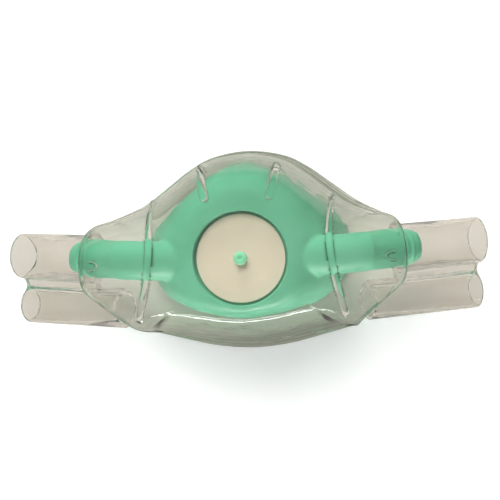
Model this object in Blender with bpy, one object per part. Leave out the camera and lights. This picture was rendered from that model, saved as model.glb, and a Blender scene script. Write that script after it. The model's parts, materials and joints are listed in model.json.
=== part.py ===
"""Dental nasal hood: clear outer hood, soft inner mask, flap valve and two clear twin tubes.

The mask lies rim down on the plane z = 0. +X runs to one wing, +Y to the bridge of the nose and
+Z out of the front. The origin is on the rim plane, below the middle of the mask. Lengths are in
millimetres, and MM turns them into metres.
"""

import math

import bmesh
import bpy
from mathutils import Matrix, Vector

MM = 0.001
GAP = 0.3
CUT_MARGIN = 1.0
# Corners closer than this are merged, and faces that meet below this angle are shaded smooth.
MERGE = 0.004
MERGE_TURNED = 0.0005
MERGE_SWEPT = 0.01
SMOOTH_ANGLE = math.radians(40.0)
# Sides of round pieces: tubes and bores, the mask's valve opening, turned rings, the stud and hub.
TUBE_SIDES = 32
OPENING_SIDES = 48
RING_SIDES = 40
HUB_SIDES = 24
SIDES = (("left", -1), ("right", 1))

# The valve sits a little below the middle, and every dome is lofted about its axis.
VALVE_Y = -2.85

# Outer hood: wall, rim flange and the height of the dome.
HOOD_WALL = 1.2
HOOD_TOP = 43.5
HOOD_RINGS = 12
RING_CROWDING = 1.8
RIM_STEPS = 2
FINE_RIM_STEPS = 12
# Rim from the bridge round one wing to the bottom: x, y, z, fullness, edge power, flange width.
HOOD_RIM = (
    (0.0, 32.85, 0.0, 10.0, 0.42, 1.2),
    (11.9, 31.0, 0.0, 10.0, 0.42, 1.3),
    (19.8, 27.0, 0.0, 9.2, 0.44, 1.6),
    (27.7, 21.2, 0.0, 8.4, 0.45, 1.9),
    (35.6, 15.4, 3.0, 7.2, 0.5, 2.0),
    (43.6, 11.3, 15.0, 6.4, 0.66, 1.5),
    (49.6, 8.6, 26.2, 5.6, 0.86, 1.0),
    (52.6, 3.4, 32.4, 5.0, 1.0, 0.8),
    (53.4, -5.4, 33.2, 5.0, 1.0, 0.8),
    (52.0, -11.8, 32.8, 5.0, 1.0, 0.8),
    (46.8, -16.6, 32.0, 5.2, 1.0, 0.8),
    (41.0, -21.4, 30.4, 6.0, 0.8, 0.8),
    (37.2, -24.8, 23.0, 8.0, 0.6, 0.8),
    (35.2, -26.4, 8.0, 8.0, 0.5, 1.0),
    (32.0, -27.0, 0.0, 8.0, 0.5, 1.6),
    (24.0, -29.0, 0.0, 6.0, 0.5, 2.0),
    (12.5, -31.7, 0.0, 5.4, 0.52, 2.3),
    (0.0, -32.85, 0.0, 5.4, 0.52, 2.3),
)

# Moulded ribs that follow the dome: a short one and a long one on each side.
SHORT_RIB = ((12.3, 26.2), (11.8, 23.4), (11.3, 20.0), (10.6, 16.9))
SHORT_RIB_RADIUS = 1.3
LONG_RIB = (
    (29.3, 16.0),
    (29.0, 12.0),
    (28.8, 6.0),
    (29.0, 0.0),
    (30.0, -8.0),
    (31.6, -16.0),
    (33.2, -21.6),
)
LONG_RIB_RADIUS = 0.9
RIB_LIFT = 0.3
RIB_SIDES = 2

# Inner mask: cup wall, cup height and the valve boss on its front.
CUP_WALL = 1.5
CUP_TOP = 39.6
CUP_FLOOR = 1.0
CUP_RINGS = 9
# Cup outline from the bridge round one side to the bottom: x, y, z, fullness, edge power.
CUP_RIM = (
    (0.0, 29.8, 1.0, 9.0, 0.46),
    (9.5, 27.8, 1.0, 9.0, 0.46),
    (17.0, 22.6, 1.0, 8.0, 0.5),
    (23.6, 17.6, 1.0, 7.0, 0.56),
    (29.0, 12.4, 1.0, 5.8, 0.66),
    (32.8, 6.0, 1.0, 5.4, 0.7),
    (33.4, -2.8, 1.0, 5.0, 0.7),
    (30.0, -12.4, 1.0, 6.0, 0.65),
    (22.5, -18.4, 1.0, 9.0, 0.6),
    (13.0, -22.2, 1.0, 12.0, 0.6),
    (0.0, -24.2, 1.0, 12.0, 0.6),
)
BOSS_RADIUS = 16.8
BOSS_TOP = 38.6
BOSS_BOTTOM = 32.4
RECESS_RADIUS = 15.2
LEDGE_RADIUS = 13.0
LEDGE_TOP = 35.9
LEDGE_BOTTOM = 34.7

# Valve seat, flap and stud share the valve's axis.
SEAT_RADIUS = RECESS_RADIUS - GAP
SEAT_BOTTOM = 33.0
SEAT_STEP = LEDGE_BOTTOM - GAP
SEAT_RAISED_RADIUS = LEDGE_RADIUS - GAP
SEAT_OPENING = 11.2
HUB_RADIUS = 3.4
HUB_BOTTOM = SEAT_STEP - 0.4
SPOKES = 4
SPOKE_WIDTH = 1.6
SPOKE_TOP = LEDGE_TOP - 0.15
SPOKE_BOTTOM = SEAT_STEP + 0.05
SPOKE_OVERLAP = 0.8
SHANK_RADIUS = 1.2
HOLE_RADIUS = SHANK_RADIUS + GAP
FLAP_RADIUS = 14.4
FLAP_BOTTOM = LEDGE_TOP + GAP
FLAP_THICKNESS = 0.8
FLAP_BEVEL = 0.2
FLAP_TRAVEL = 1.0
STUD_HEAD_RADIUS = 2.2
STUD_HEAD_BOTTOM = FLAP_BOTTOM + FLAP_THICKNESS + FLAP_TRAVEL + GAP
STUD_HEAD_HEIGHT = 1.3
STUD_SHOULDER_DROP = 0.55
STUD_CROWN_RADIUS = 1.65
STUD_CROWN_DROP = 0.1
STUD_DIMPLE_RADIUS = 0.7
STUD_DIMPLE_DEPTH = 0.5
STUD_DIMPLE_ROUND = 0.7
STUD_BARB_TOP = HUB_BOTTOM - GAP
STUD_BARB_RADIUS = 2.0
STUD_BARB_HEIGHT = 1.2
STUD_BARB_TIP_RADIUS = 0.7

# Twin tubes sweep back from the front towards the rim plane and rise a little towards the bridge.
SWEEP = math.radians(30.0)
RISE = math.radians(4.0)
TUBE_END_X = 75.25
TUBE_END_Y = 0.45
TUBE_END_Z = 9.7
TUBE_LENGTH = 39.5
UPPER_END_RADIUS = 7.5
UPPER_HOOD_RADIUS = 7.9
UPPER_BORE = 6.5
LOWER_RADIUS = 6.0
LOWER_BORE = 4.75
LOWER_ACROSS = -16.2
LOWER_BELOW = -5.0
WEB_THICKNESS = 2.4
TUBE_SLIDE = 6.0
# The upper lumen ends at the wing's edge, and the lower one runs on below the wing.
UPPER_LENGTH = 30.0
CUT_BACK_RADIUS = 10.2

# Arms: a wide root that bends out of the cup, a straight sleeve that ends short of the upper lumen,
# and a slimmer plug with grip ridges inside it. Distances along an arm run inwards from the tube's
# outer end.
ARM_RADIUS = 6.45
ARM_BORE = 4.2
ARM_SLEEVE_RADIUS = UPPER_BORE - GAP
ARM_SLEEVE_START = 41.8
ARM_PLUG_RADIUS = 5.5
ARM_PLUG_START = 30.6
ARM_TIP = 23.2
ARM_TIP_RADIUS = 4.9
ARM_TIP_LENGTH = 2.2
ARM_OVERLAP = 1.0
ARM_STEP = 0.1
ARM_RIDGES = (26.6, 28.8)
ARM_RIDGE_RADIUS = 6.0
ARM_RIDGE_WIDTH = 0.9
ARM_BEND = ((33.0, -2.6, 33.2), (25.0, -2.9, 33.0), (19.0, -3.0, 30.0))
ARM_STRAIGHT = 1.5
ARM_SIDES = 5
SWEEP_STEPS = 3


def clear_scene():
    for obj in list(bpy.data.objects):
        bpy.data.objects.remove(obj)


def collection(name, shown):
    """A new collection, drawn as parts or kept for cutters."""
    made = bpy.data.collections.new(name)
    made.hide_render = not shown
    bpy.context.scene.collection.children.link(made)
    return made


def material(name, colour, roughness, alpha=1.0):
    made = bpy.data.materials.new(name)
    made.use_nodes = True
    shader = made.node_tree.nodes["Principled BSDF"]
    shader.inputs["Base Color"].default_value = (*colour, 1.0)
    shader.inputs["Roughness"].default_value = roughness
    shader.inputs["Metallic"].default_value = 0.0
    shader.inputs["Alpha"].default_value = alpha
    return made


def object_from(bm, name, home):
    """Turns a bmesh in millimetres into an object in metres."""
    bmesh.ops.recalc_face_normals(bm, faces=bm.faces)
    bmesh.ops.scale(bm, vec=(MM, MM, MM), verts=bm.verts)
    mesh = bpy.data.meshes.new(name)
    bm.to_mesh(mesh)
    bm.free()
    obj = bpy.data.objects.new(name, mesh)
    home.objects.link(obj)
    return obj


def cutter_from(bm, name, home):
    obj = object_from(bm, name, home)
    obj.hide_render = True
    obj.display_type = "WIRE"
    return obj


def boolean(obj, operation, tool):
    """Joins or cuts the piece at once, and clears the slivers that the cut leaves."""
    step = obj.modifiers.new(operation.title(), "BOOLEAN")
    step.operation = operation
    step.object = tool
    graph = bpy.context.evaluated_depsgraph_get()
    solid = bpy.data.meshes.new_from_object(obj.evaluated_get(graph))
    obj.modifiers.clear()
    bm = bmesh.new()
    bm.from_mesh(solid)
    bmesh.ops.triangulate(bm, faces=bm.faces)
    bmesh.ops.remove_doubles(bm, verts=bm.verts, dist=MERGE * MM)
    bmesh.ops.dissolve_degenerate(bm, edges=bm.edges, dist=MERGE * MM)
    bm.to_mesh(solid)
    bm.free()
    obj.data = solid


def finish(obj, finish_material):
    """Gives the piece its material and shades it smooth."""
    obj.data.materials.clear()
    obj.data.materials.append(finish_material)
    obj.data.shade_smooth()
    obj.data.set_sharp_from_angle(angle=SMOOTH_ANGLE)


def set_origin(obj, point):
    """Moves the object's origin to a point in millimetres and leaves its shape in place."""
    place = Vector(point) * MM
    obj.data.transform(Matrix.Translation(-place))
    obj.location = place


def mirrored_loop(stations):
    """Stations of one half, from the bridge to the bottom, carried on round the other half."""
    other = [(-s[0], *s[1:]) for s in reversed(stations[1:-1])]
    return list(stations) + other


def smooth_loop(stations, steps):
    """Points on a closed Catmull-Rom curve through stations of any number of values."""
    count = len(stations)
    points = []
    for i in range(count):
        four = [stations[(i + k) % count] for k in (-1, 0, 1, 2)]
        for step in range(steps):
            t = step / steps
            weights = (
                0.5 * (-t + 2 * t**2 - t**3),
                0.5 * (2 - 5 * t**2 + 3 * t**3),
                0.5 * (t + 4 * t**2 - 3 * t**3),
                0.5 * (-(t**2) + t**3),
            )
            point = [sum(w * v for w, v in zip(weights, values)) for values in zip(*four)]
            point[2] = max(point[2], 0.0)
            points.append(point)
    return points


def dome_height(share, edge_z, top, fullness, power):
    """Height of a dome at a share of the way from its axis to its edge."""
    return edge_z + (top - edge_z) * max(0.0, 1.0 - share**fullness) ** power


def ring_share(ring, rings):
    """Shares run from the axis to the edge, and crowd together at the edge."""
    return 1.0 - (1.0 - ring / rings) ** RING_CROWDING


def skin(bm, rings, apex):
    """Joins closed rings of points, and a fan from the first ring to its apex."""
    loops = [[bm.verts.new(point) for point in ring] for ring in rings]
    count = len(loops[0])
    for inner, outer in zip(loops, loops[1:]):
        for i in range(count):
            j = (i + 1) % count
            bm.faces.new((inner[i], inner[j], outer[j], outer[i]))
    if apex is not None:
        top = bm.verts.new(apex)
        for i in range(count):
            bm.faces.new((top, loops[0][(i + 1) % count], loops[0][i]))
    return loops


def hood_point(station, share, wall):
    """A point of the hood's outer side, or of its inner side when it lies a wall further in."""
    x, y, z, fullness, power, flange = station
    across = Vector((x, y - VALVE_Y))
    reach = across.length - flange - wall
    spot = across.normalized() * reach * share
    height = dome_height(share, z + HOOD_WALL - wall, HOOD_TOP - wall, fullness, power)
    return Vector((spot.x, spot.y + VALVE_Y, height))


def hood_shell(home):
    """Both sides of the wall are lofted from the axis to the rim and joined round the flange."""
    stations = smooth_loop(mirrored_loop(HOOD_RIM), RIM_STEPS)
    shares = [ring_share(k, HOOD_RINGS) for k in range(1, HOOD_RINGS + 1)]
    outer = [[hood_point(s, share, 0.0) for s in stations] for share in shares]
    inner = [[hood_point(s, share, HOOD_WALL) for s in stations] for share in shares]
    flange_top = [Vector((s[0], s[1], s[2] + HOOD_WALL)) for s in stations]
    flange_bottom = [Vector((s[0], s[1], s[2])) for s in stations]
    bm = bmesh.new()
    rings = outer + [flange_top, flange_bottom] + inner[::-1]
    loops = skin(bm, rings, (0.0, VALVE_Y, HOOD_TOP))
    top = bm.verts.new((0.0, VALVE_Y, HOOD_TOP - HOOD_WALL))
    last = loops[-1]
    for i, vert in enumerate(last):
        bm.faces.new((top, vert, last[(i + 1) % len(last)]))
    return object_from(bm, "outer_hood", home)


def surface_height(x, y):
    """Height of the hood's outer side over a point of the plan."""
    stations = smooth_loop(mirrored_loop(HOOD_RIM), FINE_RIM_STEPS)
    target = math.atan2(x, y - VALVE_Y)
    best = min(stations, key=lambda s: abs(math.atan2(s[0], s[1] - VALVE_Y) - target))
    reach = math.hypot(best[0], best[1] - VALVE_Y) - best[5]
    share = math.hypot(x, y - VALVE_Y) / reach
    return dome_height(share, best[2] + HOOD_WALL, HOOD_TOP, best[3], best[4])


def rib(name, side, line, radius, home):
    """A round bar that follows the dome and lies half sunk in it."""
    points = [(side * x, y, surface_height(x, y) + RIB_LIFT) for x, y in line]
    return swept_tube(name, points, radius, home, sides=RIB_SIDES)


def tube_axes(side):
    """End point, outward direction, across and up directions of one twin tube."""
    end = Vector((side * TUBE_END_X, TUBE_END_Y, TUBE_END_Z))
    level = Vector((side * math.cos(RISE), math.sin(RISE), 0.0))
    across = Vector((-side * math.sin(RISE), math.cos(RISE), 0.0))
    upright = Vector((0.0, 0.0, 1.0))
    out = level * math.cos(SWEEP) - upright * math.sin(SWEEP)
    up = level * math.sin(SWEEP) + upright * math.cos(SWEEP)
    return end, out, across, up


def tube_frame(side):
    """Places +Z along the tube, away from the hood, with its origin at the tube's outer end."""
    end, out, across, up = tube_axes(side)
    turn = Matrix((up, across, out)).transposed().to_4x4()
    if turn.determinant() < 0:
        turn = Matrix((-up, across, out)).transposed().to_4x4()
    return Matrix.Translation(end) @ turn


def add_cone(bm, frame, centre, low, high, low_radius, high_radius, segments=TUBE_SIDES):
    """A cylinder or cone along the frame's +Z, from low to high."""
    place = frame @ Matrix.Translation((centre[0], centre[1], (low + high) / 2))
    bmesh.ops.create_cone(
        bm,
        cap_ends=True,
        segments=segments,
        radius1=low_radius,
        radius2=high_radius,
        depth=high - low,
        matrix=place,
    )


def cone(name, home, frame, low, high, radius, end_radius=None, centre=(0.0, 0.0), segments=TUBE_SIDES):
    """A cutter along the frame's +Z, round and straight unless it has another radius at its end."""
    bm = bmesh.new()
    add_cone(bm, frame, centre, low, high, radius, end_radius or radius, segments)
    return cutter_from(bm, name, home)


def lower_centre(side):
    """Centre of the lower lumen in the tube's own frame."""
    frame = tube_frame(side)
    _, _, across, up = tube_axes(side)
    offset = across * LOWER_ACROSS + up * LOWER_BELOW
    local = frame.to_3x3().inverted() @ offset
    return local.x, local.y


def web_solid(side, home, extra, low, high):
    """The flat web between the two lumens, wider by extra all round."""
    centre = lower_centre(side)
    reach = math.hypot(*centre)
    bm = bmesh.new()
    bmesh.ops.create_cube(bm, size=1.0)
    bmesh.ops.scale(bm, vec=(reach, WEB_THICKNESS + 2 * extra, high - low), verts=bm.verts)
    turn = Matrix.Rotation(math.atan2(centre[1], centre[0]), 4, "Z")
    shift = Matrix.Translation((centre[0] / 2, centre[1] / 2, (low + high) / 2))
    bm.transform(tube_frame(side) @ shift @ turn)
    return cutter_from(bm, "web_%d_%g" % (side, extra), home)


def twin_tube(name, side, parts, cutters):
    """Two lumens and the web between them; the upper lumen and the web are cut back at the hood."""
    frame = tube_frame(side)
    centre = lower_centre(side)
    bm = bmesh.new()
    add_cone(bm, frame, (0.0, 0.0), -TUBE_LENGTH, 0.0, UPPER_HOOD_RADIUS, UPPER_END_RADIUS)
    tube = object_from(bm, name, parts)
    lower = cone(name + "_lower", cutters, frame, -TUBE_LENGTH, 0.0, LOWER_RADIUS, centre=centre)
    boolean(tube, "UNION", lower)
    boolean(tube, "UNION", web_solid(side, cutters, 0.0, -TUBE_LENGTH + GAP, -GAP))
    low, high = -TUBE_LENGTH - CUT_MARGIN, CUT_MARGIN
    upper_bore = cone(name + "_upper_bore", cutters, frame, low, high, UPPER_BORE)
    lower_bore = cone(name + "_lower_bore", cutters, frame, low, high, LOWER_BORE, centre=centre)
    cut_back = cone(name + "_cut_back", cutters, frame, low, -UPPER_LENGTH, CUT_BACK_RADIUS)
    for tool in (upper_bore, lower_bore, cut_back):
        boolean(tube, "DIFFERENCE", tool)
    return tube


def tube_clearances(side, home):
    """What the hood leaves free for a twin tube over the whole of its slide."""
    frame = tube_frame(side)
    low = -TUBE_LENGTH - GAP
    radius = UPPER_HOOD_RADIUS + GAP
    upper = cone("free_upper_%d" % side, home, frame, -UPPER_LENGTH - GAP, TUBE_SLIDE, radius)
    centre = lower_centre(side)
    radius = LOWER_RADIUS + GAP
    lower = cone("free_lower_%d" % side, home, frame, low, TUBE_SLIDE, radius, centre=centre)
    return upper, lower, web_solid(side, home, GAP, low, TUBE_SLIDE)


def outer_hood(parts, cutters):
    hood = hood_shell(parts)
    for name, side in SIDES:
        boolean(hood, "UNION", rib("short_rib_" + name, side, SHORT_RIB, SHORT_RIB_RADIUS, cutters))
        boolean(hood, "UNION", rib("long_rib_" + name, side, LONG_RIB, LONG_RIB_RADIUS, cutters))
        for tool in tube_clearances(side, cutters):
            boolean(hood, "DIFFERENCE", tool)
    return hood


def cup_point(station, share, wall):
    x, y, z, fullness, power = station
    across = Vector((x, y - VALVE_Y))
    spot = across.normalized() * (across.length - wall) * share
    height = dome_height(share, z, CUP_TOP - wall, fullness, power)
    return Vector((spot.x, spot.y + VALVE_Y, height))


def cup_solid(name, wall, floor, home, make):
    """A closed dome over the cup's outline, smaller by a wall, that stands on a floor."""
    stations = smooth_loop(mirrored_loop(CUP_RIM), RIM_STEPS)
    shares = [ring_share(k, CUP_RINGS) for k in range(1, CUP_RINGS + 1)]
    rings = [[cup_point(s, share, wall) for s in stations] for share in shares]
    if floor < CUP_FLOOR:
        rings.append([Vector((p.x, p.y, floor)) for p in rings[-1]])
    bm = bmesh.new()
    loops = skin(bm, rings, (0.0, VALVE_Y, CUP_TOP - wall))
    bm.faces.new(loops[-1])
    return make(bm, name, home)


def arm_path(side):
    """Centre line of an arm's root, from its sleeve to the inside of the cup."""
    end, out, _, _ = tube_axes(side)
    root = end - out * ARM_SLEEVE_START
    bend = [Vector((side * x, y, z)) for x, y, z in ARM_BEND]
    return [root + out * ARM_STRAIGHT, root - out * ARM_STRAIGHT] + bend


def swept_tube(name, points, radius, home, sides=ARM_SIDES):
    """A round bar along a smooth line, as a closed mesh; sides are the steps in a half turn, less one."""
    curve = bpy.data.curves.new(name, "CURVE")
    curve.dimensions = "3D"
    curve.bevel_depth = radius * MM
    curve.bevel_resolution = sides
    curve.resolution_u = SWEEP_STEPS
    curve.use_fill_caps = True
    line = curve.splines.new("NURBS")
    line.points.add(len(points) - 1)
    for spot, point in zip(line.points, points):
        spot.co = (*(Vector(point) * MM), 1.0)
    line.order_u = 3
    line.use_endpoint_u = True
    holder = bpy.data.objects.new(name, curve)
    home.objects.link(holder)
    graph = bpy.context.evaluated_depsgraph_get()
    mesh = bpy.data.meshes.new_from_object(holder.evaluated_get(graph))
    bpy.data.objects.remove(holder)
    bm = bmesh.new()
    bm.from_mesh(mesh)
    bpy.data.meshes.remove(mesh)
    bmesh.ops.scale(bm, vec=(1 / MM, 1 / MM, 1 / MM), verts=bm.verts)
    bmesh.ops.remove_doubles(bm, verts=bm.verts, dist=MERGE_SWEPT)
    return cutter_from(bm, name, home)


def add_arm(mask, name, side, home):
    """Root, sleeve, plug, tip and grip ridges of one arm, joined to the cup."""
    frame = tube_frame(side)
    boolean(mask, "UNION", swept_tube("arm_root_" + name, arm_path(side), ARM_RADIUS, home))
    tip = -ARM_TIP - ARM_TIP_LENGTH
    sections = [
        ("sleeve", -ARM_SLEEVE_START - ARM_OVERLAP, -ARM_PLUG_START, ARM_SLEEVE_RADIUS, None),
        ("plug", -ARM_PLUG_START - ARM_OVERLAP, tip, ARM_PLUG_RADIUS, None),
        ("nose", tip - ARM_OVERLAP, -ARM_TIP, ARM_PLUG_RADIUS - ARM_STEP, ARM_TIP_RADIUS),
    ]
    for ridge in ARM_RIDGES:
        low = -ridge - ARM_RIDGE_WIDTH / 2
        sections.append(("ridge_%g" % ridge, low, low + ARM_RIDGE_WIDTH, ARM_RIDGE_RADIUS, None))
    for kind, low, high, radius, end_radius in sections:
        label = "arm_%s_%s" % (kind, name)
        boolean(mask, "UNION", cone(label, home, frame, low, high, radius, end_radius))


def cut_arm_bore(mask, name, side, home):
    frame = tube_frame(side)
    bend = swept_tube("bore_bend_" + name, arm_path(side), ARM_BORE, home)
    end = -ARM_TIP + CUT_MARGIN
    straight = cone("bore_" + name, home, frame, -ARM_SLEEVE_START, end, ARM_BORE - ARM_STEP)
    boolean(mask, "DIFFERENCE", bend)
    boolean(mask, "DIFFERENCE", straight)


def inner_mask(parts, cutters):
    """Cup, arms and valve boss in one soft moulding."""
    mask = cup_solid("inner_mask", 0.0, CUP_FLOOR, parts, object_from)
    for name, side in SIDES:
        add_arm(mask, name, side, cutters)
    cavity = cup_solid("nose_cavity", CUP_WALL, CUP_FLOOR - CUT_MARGIN, cutters, cutter_from)
    boolean(mask, "DIFFERENCE", cavity)
    for name, side in SIDES:
        cut_arm_bore(mask, name, side, cutters)
    upright = Matrix.Translation((0.0, VALVE_Y, 0.0))
    below = BOSS_BOTTOM - CUT_MARGIN
    boss = cone("boss", cutters, upright, BOSS_BOTTOM, BOSS_TOP, BOSS_RADIUS, segments=OPENING_SIDES)
    boolean(mask, "UNION", boss)
    for name, low, high, radius in (
        ("recess", LEDGE_TOP, CUP_TOP + CUT_MARGIN, RECESS_RADIUS),
        ("ledge", below, BOSS_TOP, LEDGE_RADIUS),
        ("pocket", below, LEDGE_BOTTOM, RECESS_RADIUS),
    ):
        tool = cone(name, cutters, upright, low, high, radius, segments=OPENING_SIDES)
        boolean(mask, "DIFFERENCE", tool)
    return mask


def turned(name, profile, home):
    """A profile of radius and height, from the outer top down and back, turned about the valve's axis."""
    bm = bmesh.new()
    count = len(profile)
    rings = []
    for step in range(RING_SIDES):
        angle = math.tau * step / RING_SIDES
        across, along = math.cos(angle), math.sin(angle)
        rings.append([bm.verts.new((r * across, r * along + VALVE_Y, z)) for r, z in profile])
    for here, there in zip(rings, rings[1:] + rings[:1]):
        for i in range(count):
            j = (i + 1) % count
            bm.faces.new((here[i], here[j], there[j], there[i]))
    bmesh.ops.remove_doubles(bm, verts=bm.verts, dist=MERGE_TURNED)
    return object_from(bm, name, home)


def valve_seat(parts, cutters):
    """A stepped ring with spokes that carry a bored hub."""
    profile = (
        (SEAT_RADIUS, SEAT_STEP),
        (SEAT_RADIUS, SEAT_BOTTOM),
        (SEAT_OPENING, SEAT_BOTTOM),
        (SEAT_OPENING, LEDGE_TOP),
        (SEAT_RAISED_RADIUS, LEDGE_TOP),
        (SEAT_RAISED_RADIUS, SEAT_STEP),
    )
    seat = turned("valve_seat", profile, parts)
    upright = Matrix.Translation((0.0, VALVE_Y, 0.0))
    for number in range(SPOKES):
        bm = bmesh.new()
        bmesh.ops.create_cube(bm, size=1.0)
        reach = SEAT_OPENING - HUB_RADIUS + 2 * SPOKE_OVERLAP
        bmesh.ops.scale(bm, vec=(reach, SPOKE_WIDTH, SPOKE_TOP - SPOKE_BOTTOM), verts=bm.verts)
        middle = Matrix.Translation(((SEAT_OPENING + HUB_RADIUS) / 2, 0, (SPOKE_TOP + SPOKE_BOTTOM) / 2))
        turn = Matrix.Rotation((number + 0.5) * math.tau / SPOKES, 4, "Z")
        bm.transform(upright @ turn @ middle)
        boolean(seat, "UNION", cutter_from(bm, "spoke_%d" % number, cutters))
    hub = cone("hub", cutters, upright, HUB_BOTTOM, LEDGE_TOP, HUB_RADIUS, segments=HUB_SIDES)
    boolean(seat, "UNION", hub)
    low, high = SEAT_BOTTOM - CUT_MARGIN, LEDGE_TOP + CUT_MARGIN
    bore = cone("hub_bore", cutters, upright, low, high, HOLE_RADIUS, segments=HUB_SIDES)
    boolean(seat, "DIFFERENCE", bore)
    return seat


def valve_flap(parts):
    """A thin disc with a hole for the stud; its origin is on the axis it lifts along."""
    top = FLAP_BOTTOM + FLAP_THICKNESS
    profile = (
        (FLAP_RADIUS, top - FLAP_BEVEL),
        (FLAP_RADIUS, FLAP_BOTTOM),
        (HOLE_RADIUS, FLAP_BOTTOM),
        (HOLE_RADIUS, top),
        (FLAP_RADIUS - FLAP_BEVEL, top),
    )
    return turned("valve_flap", profile, parts)


def valve_stud(parts):
    """Domed head with a dimple, a plain shank and a barb behind the seat's hub."""
    head = STUD_HEAD_BOTTOM
    top = head + STUD_HEAD_HEIGHT
    barb_tip = STUD_BARB_TOP - STUD_BARB_HEIGHT
    profile = (
        (0.0, top - STUD_DIMPLE_DEPTH),
        (STUD_DIMPLE_RADIUS * STUD_DIMPLE_ROUND, top - STUD_DIMPLE_DEPTH * STUD_DIMPLE_ROUND),
        (STUD_DIMPLE_RADIUS, top),
        (STUD_CROWN_RADIUS, top - STUD_CROWN_DROP),
        (STUD_HEAD_RADIUS, top - STUD_SHOULDER_DROP),
        (STUD_HEAD_RADIUS, head),
        (SHANK_RADIUS, head),
        (SHANK_RADIUS, STUD_BARB_TOP),
        (STUD_BARB_RADIUS, STUD_BARB_TOP),
        (STUD_BARB_TIP_RADIUS, barb_tip),
        (0.0, barb_tip),
    )
    bm = bmesh.new()
    spun = [bm.verts.new((r, 0.0, z)) for r, z in profile]
    edges = [bm.edges.new(pair) for pair in zip(spun, spun[1:])]
    bmesh.ops.spin(bm, geom=spun + edges, angle=math.tau, steps=HUB_SIDES, axis=(0, 0, 1), cent=(0, 0, 0))
    bmesh.ops.remove_doubles(bm, verts=bm.verts, dist=MERGE_TURNED)
    bmesh.ops.translate(bm, vec=(0, VALVE_Y, 0), verts=bm.verts)
    return object_from(bm, "valve_stud", parts)


def main():
    clear_scene()
    parts = collection("nasal_hood", True)
    cutters = collection("cutters", False)
    clear_plastic = material("clear_pvc", (0.80, 0.78, 0.72), 0.12, 0.4)
    tube_plastic = material("clear_tube_pvc", (0.80, 0.76, 0.70), 0.18, 0.4)
    green_vinyl = material("green_vinyl", (0.25, 0.57, 0.38), 0.42)
    seat_plastic = material("seat_plastic", (0.30, 0.60, 0.42), 0.40)
    stud_plastic = material("stud_vinyl", (0.30, 0.62, 0.42), 0.40)
    silicone = material("pale_silicone", (0.66, 0.60, 0.45), 0.45)

    made = [
        (outer_hood(parts, cutters), clear_plastic),
        (inner_mask(parts, cutters), green_vinyl),
        (valve_seat(parts, cutters), seat_plastic),
        (valve_stud(parts), stud_plastic),
        (valve_flap(parts), silicone),
    ]
    for name, side in SIDES:
        made.append((twin_tube("twin_tube_" + name, side, parts, cutters), tube_plastic))
    for obj, its_material in made:
        finish(obj, its_material)
    set_origin(bpy.data.objects["valve_flap"], (0.0, VALVE_Y, FLAP_BOTTOM))
    for name, side in SIDES:
        set_origin(bpy.data.objects["twin_tube_" + name], tube_axes(side)[0])


main()
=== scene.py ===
"""Looks of the dental nasal hood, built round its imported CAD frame.

Every visible piece is a finely modelled stand-in for its CAD node: clear plastic needs smooth
surfaces of an even wall. Lengths below are millimetres in the CAD's frame, and MM turns them into
metres.
"""

import json
import math

import bmesh
import bpy
import numpy as np
from mathutils import Matrix, Vector

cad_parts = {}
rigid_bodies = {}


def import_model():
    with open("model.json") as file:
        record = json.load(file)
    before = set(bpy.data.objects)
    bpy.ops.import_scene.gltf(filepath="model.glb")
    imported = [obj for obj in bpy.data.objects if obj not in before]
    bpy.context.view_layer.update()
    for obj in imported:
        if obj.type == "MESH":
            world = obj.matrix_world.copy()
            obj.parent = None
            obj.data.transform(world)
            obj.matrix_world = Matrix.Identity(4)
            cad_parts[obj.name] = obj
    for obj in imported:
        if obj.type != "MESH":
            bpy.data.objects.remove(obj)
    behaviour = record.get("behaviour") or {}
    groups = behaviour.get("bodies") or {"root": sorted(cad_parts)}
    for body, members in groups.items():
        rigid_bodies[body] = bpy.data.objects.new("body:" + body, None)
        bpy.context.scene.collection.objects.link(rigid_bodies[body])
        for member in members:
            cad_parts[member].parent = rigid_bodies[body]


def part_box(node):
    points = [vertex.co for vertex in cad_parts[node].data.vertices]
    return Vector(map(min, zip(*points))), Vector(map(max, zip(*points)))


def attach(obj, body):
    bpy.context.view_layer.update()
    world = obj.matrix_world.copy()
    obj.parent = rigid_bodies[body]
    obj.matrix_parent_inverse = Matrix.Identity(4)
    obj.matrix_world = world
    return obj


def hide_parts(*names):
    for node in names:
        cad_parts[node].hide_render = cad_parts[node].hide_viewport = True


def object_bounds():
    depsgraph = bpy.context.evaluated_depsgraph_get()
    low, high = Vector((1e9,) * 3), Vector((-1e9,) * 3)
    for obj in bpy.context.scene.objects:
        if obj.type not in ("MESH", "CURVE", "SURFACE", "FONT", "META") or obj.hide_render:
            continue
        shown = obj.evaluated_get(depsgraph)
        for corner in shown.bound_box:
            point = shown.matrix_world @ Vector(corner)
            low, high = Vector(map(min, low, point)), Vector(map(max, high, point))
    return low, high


MM = 0.001
# Clearance between parts that fit into one another.
GAP = 0.3
# Cutters reach this far past what they cut.
CUT_MARGIN = 1.0
SIDES = (("left", -1), ("right", 1))

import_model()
CAD_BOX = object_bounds()

# The flap lies on the valve's axis, so its box gives the axis as well as its own size and level.
FLAP_LOW, FLAP_HIGH = [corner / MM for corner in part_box("valve_flap")]
VALVE_Y = (FLAP_LOW.y + FLAP_HIGH.y) / 2
FLAP_BOTTOM = FLAP_LOW.z
FLAP_TOP = FLAP_HIGH.z
FLAP_RADIUS = (FLAP_HIGH.x - FLAP_LOW.x) / 2

HOOD_WALL = 1.2
HOOD_TOP = 43.5
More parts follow.
